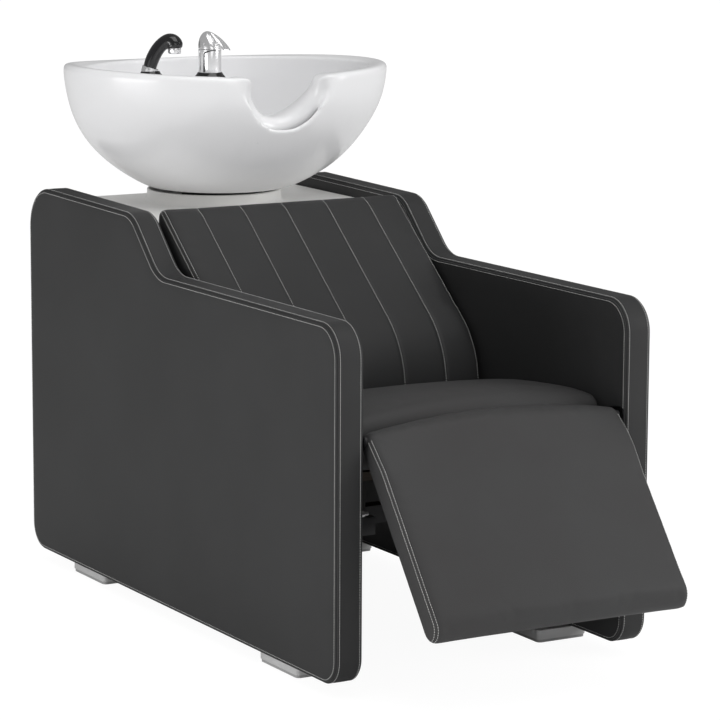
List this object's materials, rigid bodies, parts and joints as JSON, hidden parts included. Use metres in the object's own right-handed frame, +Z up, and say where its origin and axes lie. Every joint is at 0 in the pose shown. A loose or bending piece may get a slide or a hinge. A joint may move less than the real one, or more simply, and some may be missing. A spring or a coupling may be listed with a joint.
{
  "type": "hair washing bed",
  "caption": "Salon wash unit: upholstered seat between side panels, hinged legrest, tilting ceramic basin with neck rest, lever mixer and pull-out hand spray.",
  "frame": {"origin": "on the floor, under the middle of the whole unit's box", "axes": "+Z up, +Y from the legrest to the basin, +X to the sitter's left"},
  "size_m": [0.6387, 1.4489, 1.0465],
  "materials": {
    "leatherette": "charcoal grained leatherette, satin",
    "leather_soft": "charcoal grained leatherette over foam, satin",
    "board": "plain birch ply",
    "stained_board": "beech, stained black",
    "zinc_steel": "zinc plated",
    "frame_steel": "black powder coat",
    "foot_paint": "light grey satin paint",
    "glide": "light grey, matt",
    "black_plastic": "satin black",
    "cover_plastic": "satin off-white",
    "ceramic": "white glaze",
    "chrome": "polished",
    "black_gloss": "glossy black",
    "brass": "turned",
    "buffer_rubber": "matt"
  },
  "bodies": {
    "chassis": {"back_board": "board", "back_cushion": "leather_soft", "basin_stand": "frame_steel", "bracket_screws": "zinc_steel", "cleats": "black_plastic", "foot_pads": "glide", "foot_screws": "zinc_steel", "front_cross_tube": "frame_steel", "front_left_foot": "foot_paint", "front_right_foot": "foot_paint", "left_back_bearer": "board", "left_leg_bracket": "zinc_steel", "left_panel_core": "board", "left_panel_cover": "leatherette", "left_seat_bearer": "stained_board", "left_side_rail": "frame_steel", "middle_cross_tube": "frame_steel", "pivot_studs": "zinc_steel", "pivot_washers": "zinc_steel", "rail_bolts": "zinc_steel", "rail_plugs": "black_plastic", "rear_left_foot": "foot_paint", "rear_panel": "cover_plastic", "rear_panel_screws": "zinc_steel", "rear_right_foot": "foot_paint", "rest_buffers": "buffer_rubber", "right_back_bearer": "board", "right_leg_bracket": "zinc_steel", "right_panel_core": "board", "right_panel_cover": "leatherette", "right_seat_bearer": "stained_board", "right_side_rail": "frame_steel", "seat_board": "board", "seat_cushion": "leather_soft", "stand_front_tube": "frame_steel", "stand_rear_tube": "frame_steel", "stop_studs": "zinc_steel", "tilt_pin": "zinc_steel", "top_cover": "cover_plastic"},
    "legrest": {"legrest_board": "board", "legrest_cushion": "leather_soft", "leg_bushes": "black_plastic"},
    "basin": {"tilt_plate": "frame_steel", "basin_gasket": "buffer_rubber", "basin": "ceramic", "waste_body": "chrome", "strainer": "chrome", "waste_nut": "black_plastic", "mixer_ring": "black_gloss", "mixer_body": "chrome", "mixer_nut": "brass", "spray_holder": "black_gloss", "spray_nut": "black_plastic"},
    "mixer_stem": {"mixer_spindle": "brass"},
    "mixer_lever": {"mixer_lever": "chrome", "lever_pin": "chrome"},
    "hand_spray": {"spray_collar": "chrome", "spray_grip": "black_gloss", "spray_nozzle": "chrome"}
  },
  "joints": [
    {"name": "legrest_hinge", "type": "hinge", "parent": "chassis", "child": "legrest", "pos_m": [0, -0.4849, 0.4305], "axis": [-1, 0, 0], "range_deg": [-31, 48.5]},
    {"name": "basin_tilt", "type": "hinge", "parent": "chassis", "child": "basin", "pos_m": [0, 0.4301, 0.712], "axis": [1, 0, 0], "range_deg": [0, 8]},
    {"name": "mixer_turn", "type": "hinge", "parent": "basin", "child": "mixer_stem", "pos_m": [-0.123, 0.3051, 1], "axis": [0, 0, 1], "range_deg": [-45, 45]},
    {"name": "mixer_lift", "type": "hinge", "parent": "mixer_stem", "child": "mixer_lever", "pos_m": [-0.1318, 0.3098, 1.0235], "axis": [-0.4695, -0.8829, 0], "range_deg": [0, 20]},
    {"name": "spray_draw", "type": "slide", "parent": "basin", "child": "hand_spray", "axis": [0.2434, -0.1294, 0.9613], "range_m": [0, 0.15]}
  ]
}
